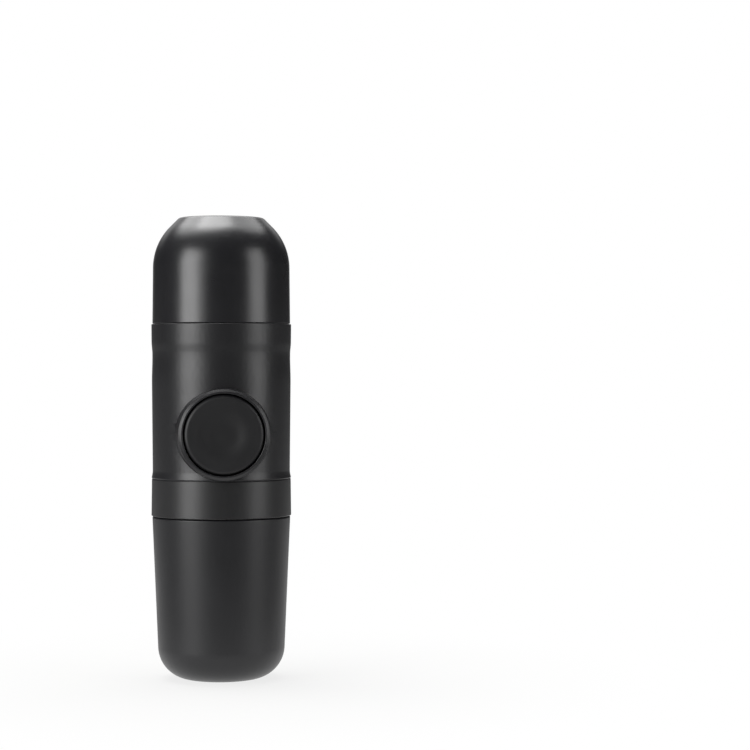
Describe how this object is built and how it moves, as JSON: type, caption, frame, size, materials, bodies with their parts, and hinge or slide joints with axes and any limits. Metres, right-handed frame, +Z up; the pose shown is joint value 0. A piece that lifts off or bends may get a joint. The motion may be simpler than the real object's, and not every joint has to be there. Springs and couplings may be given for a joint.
{
  "type": "handheld manual espresso maker",
  "caption": "Handheld manual espresso maker: screw-on water tank, body with a side pump knob, brew chamber, outlet head and a domed cup as its lid.",
  "frame": {"origin": "centre of the water tank's flat base", "axes": "+Z up along the body's axis; -Y towards the pump knob; X across"},
  "size_m": [0.06, 0.0663, 0.198],
  "materials": {
    "black_plastic": "satin",
    "tank_plastic": "satin",
    "knob_plastic": "satin",
    "core_plastic": "matt",
    "red_silicone": "satin",
    "dark_silicone": "matt",
    "clear_silicone": "matt",
    "steel": "brushed"
  },
  "bodies": {
    "tank": {"water_tank": "tank_plastic"},
    "tank_seal": {"tank_gasket": "clear_silicone"},
    "main_body": {"body_shell": "black_plastic", "base_ring": "black_plastic", "pump_chassis": "core_plastic", "nozzle_socket": "core_plastic", "pump_cylinder": "steel", "cylinder_cap": "core_plastic", "inlet_seat": "core_plastic", "intake_strainer": "steel", "chassis_screws": "steel", "outlet_spring": "steel", "return_spring": "steel"},
    "suction_ball": {"inlet_ball": "steel"},
    "delivery_ball": {"outlet_ball": "steel"},
    "plunger": {"piston": "core_plastic", "piston_seal": "dark_silicone"},
    "pump_knob": {"knob": "knob_plastic"},
    "chamber_bottom": {"chamber_base": "black_plastic", "inlet_nozzle_seal": "red_silicone", "shower_screen": "steel", "chamber_gasket": "dark_silicone"},
    "basket": {"filter_basket": "steel", "filter_disc": "steel"},
    "chamber_cover": {"chamber_top": "black_plastic", "outlet_nozzle_seal": "red_silicone"},
    "head_seal": {"head_gasket": "dark_silicone"},
    "head": {"outlet_head": "black_plastic", "outlet_valve": "dark_silicone", "outlet_spout": "core_plastic"},
    "drinking_cup": {"cup": "black_plastic"}
  },
  "joints": [
    {"name": "body_rise", "type": "slide", "parent": "tank", "child": "tank_seal", "axis": [0, 0, 1], "range_m": [0, 0.012]},
    {"name": "body_unscrew", "type": "hinge", "parent": "tank_seal", "child": "main_body", "pos_m": [0, 0, 0.0785], "axis": [0, 0, 1], "range_deg": [0, 1080]},
    {"name": "inlet_ball_lift", "type": "slide", "parent": "main_body", "child": "suction_ball", "axis": [0, 0, 1], "range_m": [0, 0.0012]},
    {"name": "outlet_ball_lift", "type": "slide", "parent": "main_body", "child": "delivery_ball", "axis": [0, 0, 1], "range_m": [0, 0.001], "deforming": ["outlet_spring"]},
    {"name": "pump_stroke", "type": "slide", "parent": "main_body", "child": "plunger", "axis": [0, -1, 0], "range_m": [0, 0.012], "deforming": ["return_spring"]},
    {"name": "knob_lock", "type": "hinge", "parent": "plunger", "child": "pump_knob", "pos_m": [0, -0.03, 0.10575], "axis": [0, -1, 0], "range_deg": [0, 60]},
    {"name": "brew_lift", "type": "slide", "parent": "main_body", "child": "chamber_bottom", "axis": [0, 0, 1], "range_m": [0, 0.015]},
    {"name": "basket_lift", "type": "slide", "parent": "chamber_bottom", "child": "basket", "axis": [0, 0, 1], "range_m": [0, 0.01]},
    {"name": "cover_lift", "type": "slide", "parent": "basket", "child": "chamber_cover", "axis": [0, 0, 1], "range_m": [0, 0.024]},
    {"name": "head_rise", "type": "slide", "parent": "chamber_cover", "child": "head_seal", "axis": [0, 0, 1], "range_m": [0, 0.044]},
    {"name": "head_unscrew", "type": "hinge", "parent": "head_seal", "child": "head", "pos_m": [0, 0, 0.146], "axis": [0, 0, 1], "range_deg": [0, 1980]},
    {"name": "cup_lift", "type": "slide", "parent": "head", "child": "drinking_cup", "axis": [0, 0, 1], "range_m": [0, 0.046]}
  ],
  "couplings": [
    {"joint": "body_rise", "follows": "body_unscrew", "m_per_rad": 0.0006366},
    {"joint": "head_rise", "follows": "head_unscrew", "m_per_rad": 0.0012732}
  ]
}
